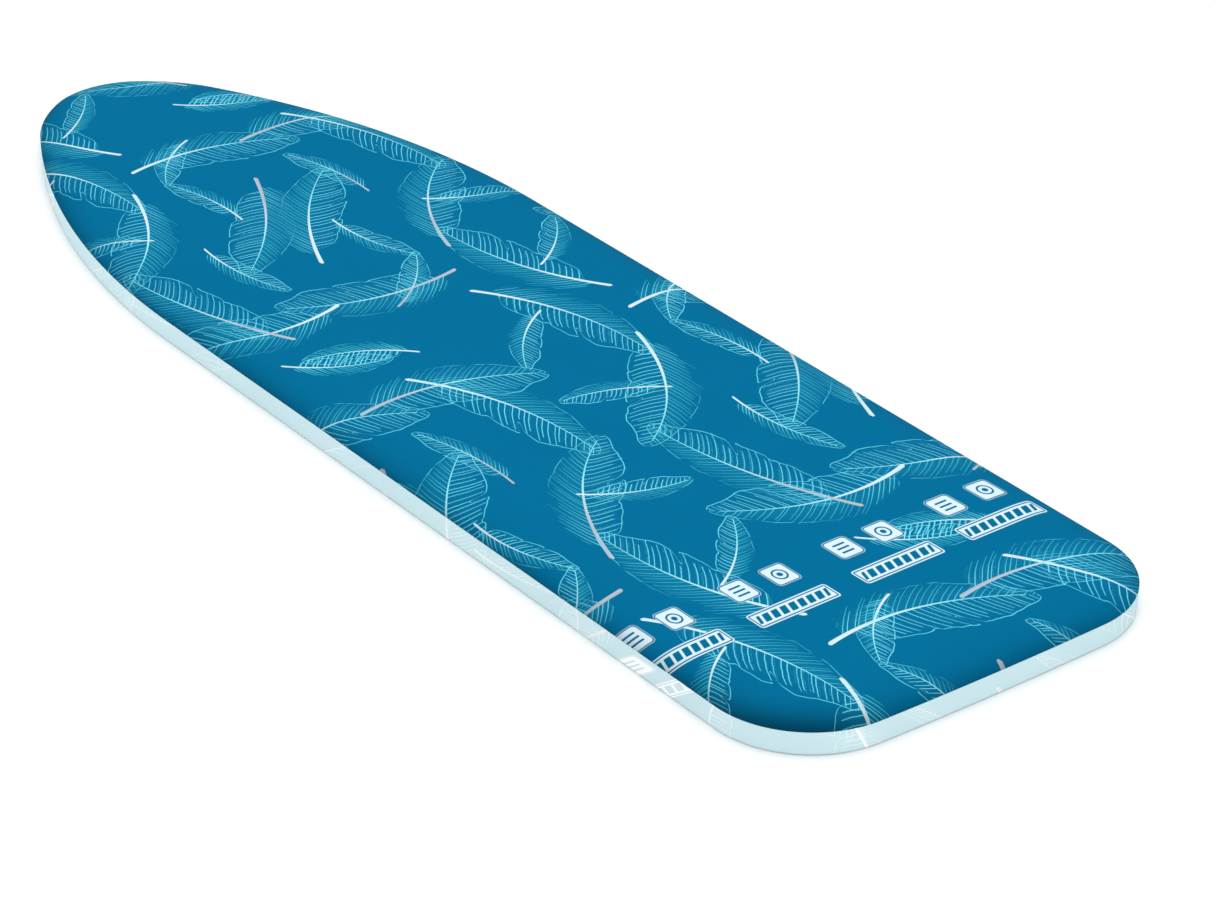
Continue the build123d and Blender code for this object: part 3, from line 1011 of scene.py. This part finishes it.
def hem_stitches():
    """Row of stitches that joins the casing to the hem."""
    inset, length, radius, pitch, margin = 0.0262, 0.0030, 0.00022, 0.0044, 0.004
    sides = 6
    profile = ((0.0, 0.35), (0.2, 1.0), (0.8, 1.0), (1.0, 0.35))
    nudge = 1e-4
    path = casing_path(inset)
    steps = np.concatenate(((0,), np.cumsum(np.linalg.norm(np.diff(path, axis=0), axis=1))))
    points = []
    faces = []
    for start in np.arange(margin, steps[-1] - margin, pitch):
        for place, share in profile:
            spot = start + length * place
            x, y = (np.interp(spot, steps, path[:, axis]) for axis in (0, 1))
            ahead = [np.interp(spot + nudge, steps, path[:, axis]) for axis in (0, 1)]
            run = np.array((ahead[0] - x, ahead[1] - y, 0.0)) / nudge
            side = np.array((-run[1], run[0], 0.0))
            for turn in np.linspace(0, 2 * math.pi, sides, endpoint=False):
                rise = math.sin(turn) * radius * share
                points.append(np.array((x, y, 0.0004)) + side * math.cos(turn) * radius * share
                              + (0, 0, rise))
        first = len(points) - len(profile) * sides
        faces += list(strip_faces(len(profile), sides, start=first))
        faces.append(tuple(range(first, first + sides)))
        faces.append(tuple(range(len(points) - sides, len(points))))
    piece = new_object("hem_stitches", points, faces)
    finish(piece, speckled("thread", (0.86, 0.88, 0.90), 0.6, 3.0, 0.05))


# ---------------------------------------------------------------- padding

def foam_pad():
    """Foam under the cover: flat below, crowned above, drawn in at its edge."""
    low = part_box("foam_pad")[0][2]
    drop = 0.0011
    lower = [ring(inset, low + 0.0001) for inset in (0.060, 0.020, 0.0045)]
    upper = [ring(0.0030, low + 0.0006), ring(0.0026, low + 0.0014)]
    upper += [ring(inset + 0.0028, float(crown_level(inset, drop)) - 0.0003)
              for inset in CROWN_RINGS[1:]]
    upper.append(ring(0.060, TOP - drop - 0.0002))
    piece = plate("crowned_foam", lower, upper)
    finish(piece, speckled("foam", (0.80, 0.76, 0.62), 0.95, 1.6, 0.25, specular=0.1))
    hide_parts("foam_pad")


def felt_pad():
    """Needled felt between the deck and the foam."""
    low, high = (corner[2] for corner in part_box("felt_pad"))
    lower = [ring(inset, low + 0.00005) for inset in (0.060, 0.010, 0.0030)]
    upper = [ring(0.0024, low + 0.0008), ring(0.0024, high - 0.0008)]
    upper += [ring(inset, high - 0.0001) for inset in (0.0032, 0.010, 0.060)]
    piece = plate("needled_felt", lower, upper)
    finish(piece, speckled("felt", (0.62, 0.62, 0.60), 1.0, 2.5, 0.30, spread=0.3, specular=0.05))
    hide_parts("felt_pad")


def reflective_layer():
    """Metallised film between the foam and the printed panel."""
    drop = 0.0009
    rings = [ring(0.0024, SEAM + 0.0002)]
    rings += [ring(inset + 0.0016, float(crown_level(inset, drop))) for inset in CROWN_RINGS[1:]]
    points = np.vstack(rings)
    count = len(SAMPLES)
    faces = list(strip_faces(len(rings), count))
    faces.append(tuple(range(len(points) - count, len(points))))
    piece = new_object("heat_film", points, faces)
    finish(piece, speckled("film", (0.72, 0.73, 0.75), 0.3, 0.3, 0.1, metallic=1.0))
    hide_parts("reflective_layer")
    plan_area(0.002)


# ---------------------------------------------------------------- small pieces

def care_label():
    """Blank satin label with a slight curl."""
    low, high = (Vector(corner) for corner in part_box("care_label"))
    rows, columns, thickness = 10, 7, 0.0003
    points = []
    for lift in (0.0, thickness):
        for row in range(rows):
            for column in range(columns):
                along, across = row / (rows - 1), column / (columns - 1)
                curl = 0.0030 * (1 - along) ** 2 + 0.0004 * math.sin(across * 5)
                points.append((low.x + (high.x - low.x) * along, low.y + (high.y - low.y) * across,
                               low.z + curl + lift))
    count = rows * columns
    faces = list(strip_faces(rows, columns, wrap_columns=False))
    faces += [face[::-1] for face in strip_faces(rows, columns, wrap_columns=False, start=count)]
    rim = [c for c in range(columns)] + [r * columns + columns - 1 for r in range(1, rows)]
    rim += [(rows - 1) * columns + c for c in range(columns - 2, -1, -1)]
    rim += [r * columns for r in range(rows - 2, 0, -1)]
    for a, b in zip(rim, rim[1:] + rim[:1]):
        faces.append((a, b, b + count, a + count))
    piece = new_object("blank_label", points, faces)
    finish(piece, dyed_cloth("label_satin", (0.88, 0.88, 0.87), pitch=0.5))
    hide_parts("care_label")


def lock_spring():
    """Coil spring, which the plunger squeezes against the barrel's floor."""
    low, high = (Vector(corner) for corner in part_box("cord_lock_spring"))
    wire = 0.00035
    radius = (high.x - low.x) / 2 - wire
    middle = (low + high) / 2
    turns = 3.5
    share = np.linspace(0, 1, 120)
    angle = share * turns * 2 * math.pi
    path = np.column_stack((middle.x + radius * np.cos(angle),
                            low.y + wire + (high.y - low.y - 2 * wire) * share,
                            middle.z + radius * np.sin(angle)))
    piece = tube("coil_spring", path, np.full(len(path), wire), body="cord_lock")
    finish(piece, speckled("spring_steel", (0.55, 0.55, 0.57), 0.35, 2.0, 0.02, metallic=1.0))
    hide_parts("cord_lock_spring")
    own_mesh(piece)


def finish_hardware():
    """Materials of the CAD nodes that stay."""
    enamel = speckled("enamel", (0.68, 0.71, 0.73), 0.38, 0.8, 0.04, spread=0.05, specular=0.45)
    tube_paint = speckled("tube_enamel", (0.74, 0.76, 0.78), 0.34, 0.8, 0.04, spread=0.05,
                          specular=0.5)
    zinc = speckled("zinc", (0.62, 0.63, 0.65), 0.4, 1.5, 0.03, metallic=1.0)
    nylon = speckled("nylon", (0.80, 0.80, 0.78), 0.5, 1.2, 0.03, spread=0.05)
    acetal = speckled("acetal", (0.02, 0.16, 0.28), 0.3, 1.2, 0.02, spread=0.06, specular=0.5)
    for name in ("rim_tube", "rim_tube_joiner"):
        finish_node(name, tube_paint)
    for name in ("deck_plate", "nose_cross_brace", "shoulder_cross_brace", "tail_cross_brace",
                 "left_leg_rail", "right_leg_rail", "left_pivot_bracket", "right_pivot_bracket"):
        finish_node(name, enamel)
    finish_node("deck_rivets", zinc)
    for name in ("cord_lock_barrel", "cord_end_stopper"):
        finish_node(name, nylon)
    finish_node("cord_lock_plunger", acetal)
    finish_node("drawcord", braid("cord", (0.84, 0.84, 0.80)))


# ---------------------------------------------------------------- studio

def floor():
    """Plain pale floor, not part of the object."""
    mesh = bpy.data.meshes.new("floor")
    reach = 30.0
    corners = [(x * reach, y * reach, 0) for x, y in ((-1, -1), (1, -1), (1, 1), (-1, 1))]
    mesh.from_pydata(corners, [], [(0, 1, 2, 3)])
    piece = bpy.data.objects.new("floor", mesh)
    bpy.context.scene.collection.objects.link(piece)
    material, tree, shader = new_material("floor", 0.9, specular=0.1)
    shader.inputs["Base Color"].default_value = (0.97, 0.97, 0.97, 1.0)
    finish(piece, material)


def area_light(name, place, target, size, power):
    """Square soft light aimed at a point."""
    light = bpy.data.lights.new(name, "AREA")
    light.size = size
    light.energy = power
    lamp = bpy.data.objects.new(name, light)
    lamp.location = place
    aim = Vector(target) - Vector(place)
    lamp.rotation_euler = aim.to_track_quat("-Z", "Y").to_euler()
    bpy.context.scene.collection.objects.link(lamp)


def studio():
    """Soft light from above, two low fills for the side band, and a bright room."""
    world = bpy.data.worlds.new("studio")
    world.use_nodes = True
    background = world.node_tree.nodes["Background"]
    background.inputs["Color"].default_value = (1.0, 1.0, 1.0, 1.0)
    background.inputs["Strength"].default_value = 0.80
    bpy.context.scene.world = world
    area_light("key", (0.0, 0.5, 4.1), (0, 0, 0), 2.4, 53)
    area_light("tail_fill", (3.7, -1.0, 0.55), (0.1, 0, 0.01), 1.2, 31)
    area_light("nose_fill", (-2.3, -3.0, 0.55), (-0.1, 0, 0.01), 1.2, 34)
    bpy.context.scene.view_settings.view_transform = "Standard"


def camera():
    """Long lens at the angle of the product picture."""
    lens = bpy.data.cameras.new("camera")
    lens.lens = CAMERA_LENS
    lens.sensor_width = 36.0
    lens.clip_end = 50.0
    view = bpy.data.objects.new("camera", lens)
    flat = math.cos(CAMERA_ELEVATION)
    back = Vector((math.sin(CAMERA_AZIMUTH) * flat, -math.cos(CAMERA_AZIMUTH) * flat,
                   math.sin(CAMERA_ELEVATION)))
    view.location = CAMERA_TARGET + back * CAMERA_DISTANCE
    view.rotation_euler = (-back).to_track_quat("-Z", "Y").to_euler()
    bpy.context.scene.collection.objects.link(view)
    bpy.context.scene.camera = view


top_panel()
side_band()
hem()
cord_casing()
hem_stitches()
foam_pad()
felt_pad()
reflective_layer()
care_label()
lock_spring()
finish_hardware()
floor()
studio()
camera()
